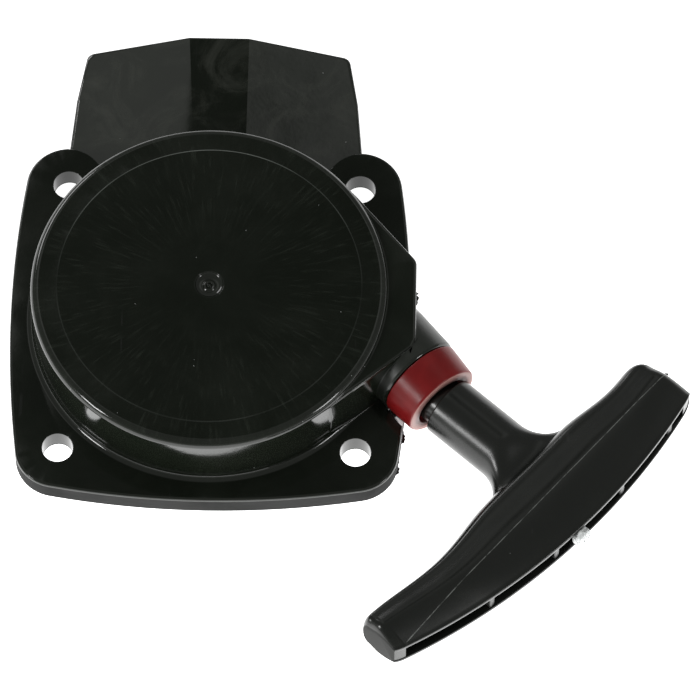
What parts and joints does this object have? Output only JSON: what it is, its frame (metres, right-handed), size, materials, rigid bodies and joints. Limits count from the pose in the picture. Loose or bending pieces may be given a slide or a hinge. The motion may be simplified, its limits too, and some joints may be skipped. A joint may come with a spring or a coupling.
{
  "type": "recoil starter",
  "caption": "Pull-cord recoil starter for a small engine: moulded cup and flange, rope outlet with rubber bumper, T-handle, sprung reel and swinging pawls.",
  "frame": {"origin": "on the reel's axis, in the mounting plane, at the centre of the square bolt pattern", "axes": "+Z away from the engine, towards the cup's closed face; +Y towards the shroud; +X towards the rope outlet's side"},
  "size_m": [0.1655, 0.1706, 0.0235],
  "materials": {
    "housing_plastic": "glossy injection-moulded black plastic",
    "handle_plastic": "glossy moulded black plastic with a pale parting line",
    "bumper_rubber": "glossy maroon rubber",
    "reel_plastic": "satin moulded nylon",
    "bright_steel": "zinc-plated and turned steel",
    "spring_steel": "blued spring steel",
    "eyelet_brass": "pressed and polished",
    "nylon_rope": "braided white nylon"
  },
  "bodies": {
    "housing_body": {"housing": "housing_plastic", "post_bush": "bright_steel", "spring_case": "bright_steel", "mainspring": "spring_steel", "rope_eyelet": "eyelet_brass", "rope_bumper": "bumper_rubber", "retaining_washer": "bright_steel", "centre_screw": "bright_steel", "rope_lead": "nylon_rope"},
    "reel_body": {"reel": "reel_plastic", "spring_anchor_pin": "bright_steel", "rope_coil": "nylon_rope", "reel_knot": "nylon_rope", "pawl_pins": "bright_steel", "pawl_spring_a": "spring_steel", "pawl_spring_b": "spring_steel", "friction_spring": "spring_steel"},
    "guide_body": {"pawl_guide": "bright_steel"},
    "pawl_a_body": {"pawl_a": "bright_steel"},
    "pawl_b_body": {"pawl_b": "bright_steel"},
    "handle_body": {"handle_grip": "handle_plastic", "rope_in_stem": "nylon_rope", "knot_plate": "bright_steel", "handle_knot": "nylon_rope"}
  },
  "joints": [
    {"name": "reel_spin", "type": "hinge", "parent": "housing_body", "child": "reel_body", "pos_m": [0, 0, 0.0109], "axis": [0, 0, -1], "range_deg": [0, 1350], "stiffness_Nm_per_rad": 0.006, "springref_deg": -859.44},
    {"name": "handle_pull", "type": "slide", "parent": "housing_body", "child": "handle_body", "axis": [0.6468, -0.7627, 0], "range_m": [0, 0.4346]},
    {"name": "guide_turn", "type": "hinge", "parent": "reel_body", "child": "guide_body", "pos_m": [0, 0, 0.0045], "axis": [0, 0, 1], "range_deg": [0, 22], "stiffness_Nm_per_rad": 0.002},
    {"name": "pawl_a_swing", "type": "hinge", "parent": "reel_body", "child": "pawl_a_body", "pos_m": [0.019, 0, 0.0043], "axis": [0, 0, 1], "range_deg": [0, 25]},
    {"name": "pawl_b_swing", "type": "hinge", "parent": "reel_body", "child": "pawl_b_body", "pos_m": [-0.019, 0, 0.0043], "axis": [0, 0, 1], "range_deg": [0, 25]}
  ],
  "couplings": [
    {"joint": "handle_pull", "follows": "reel_spin", "m_per_rad": 0.01844},
    {"joint": "pawl_a_swing", "follows": "guide_turn", "ratio": 1.12},
    {"joint": "pawl_b_swing", "follows": "guide_turn", "ratio": 1.12}
  ]
}
